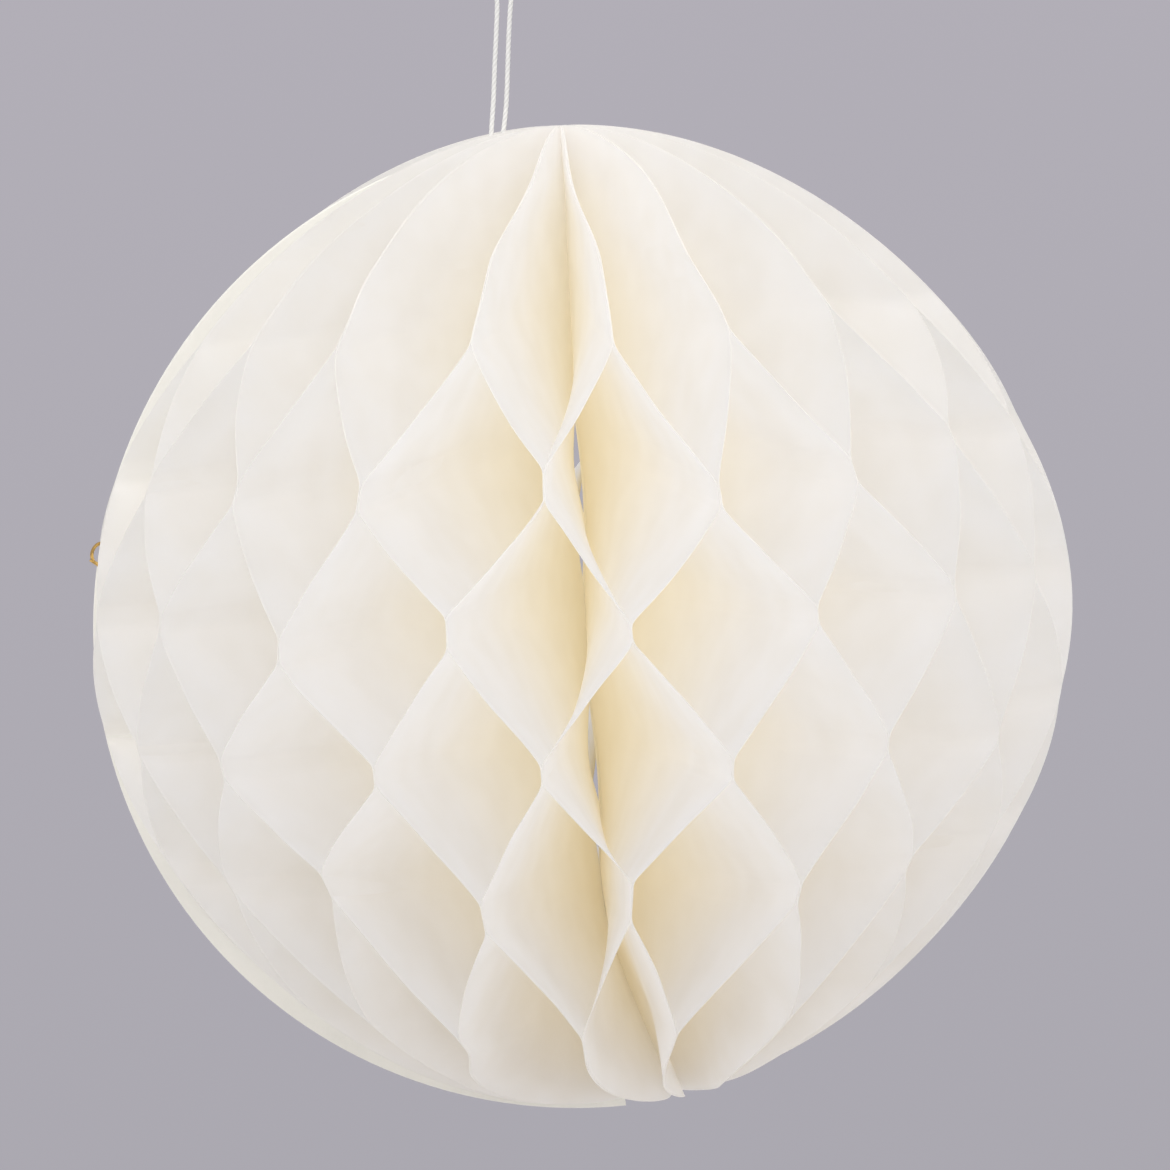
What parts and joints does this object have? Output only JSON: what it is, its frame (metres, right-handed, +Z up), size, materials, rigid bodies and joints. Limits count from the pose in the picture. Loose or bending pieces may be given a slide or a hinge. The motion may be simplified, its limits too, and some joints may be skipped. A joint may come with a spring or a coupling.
{
  "type": "honeycomb paper ball",
  "caption": "Hanging honeycomb ball of folded ivory paper leaves fanned round an open core, closed at a seam between two card covers by a wire clip, with a string loop to hang it by.",
  "frame": {"origin": "inside the top of the string's loop, where a hook would carry it", "axes": "+Z up along the ball's axis, -Y towards the side that faces the viewer, the seam with its covers and clip towards -X"},
  "size_m": [0.2497, 0.2497, 0.297],
  "materials": {
    "ivory_paper": "matte, slightly translucent, warm ivory",
    "ivory_card": "matte ivory card",
    "brass_wire": "bright drawn wire",
    "white_string": "twisted white cotton"
  },
  "bodies": {
    "root": {"leaf_01": "ivory_paper", "leaf_02": "ivory_paper", "leaf_03": "ivory_paper", "leaf_04": "ivory_paper", "leaf_05": "ivory_paper", "leaf_06": "ivory_paper", "leaf_07": "ivory_paper", "leaf_08": "ivory_paper", "leaf_09": "ivory_paper", "leaf_10": "ivory_paper", "leaf_11": "ivory_paper", "leaf_12": "ivory_paper", "leaf_13": "ivory_paper", "leaf_14": "ivory_paper", "leaf_15": "ivory_paper", "leaf_16": "ivory_paper", "leaf_17": "ivory_paper", "leaf_18": "ivory_paper", "leaf_19": "ivory_paper", "leaf_20": "ivory_paper", "leaf_21": "ivory_paper", "leaf_22": "ivory_paper", "leaf_23": "ivory_paper", "leaf_24": "ivory_paper", "leaf_25": "ivory_paper", "leaf_26": "ivory_paper", "leaf_27": "ivory_paper", "leaf_28": "ivory_paper", "leaf_29": "ivory_paper", "leaf_30": "ivory_paper", "leaf_31": "ivory_paper", "leaf_32": "ivory_paper", "leaf_33": "ivory_paper", "leaf_34": "ivory_paper", "leaf_35": "ivory_paper", "leaf_36": "ivory_paper", "front_cover": "ivory_card", "back_cover": "ivory_card", "paper_clip": "brass_wire", "hanging_string": "white_string"}
  },
  "joints": []
}
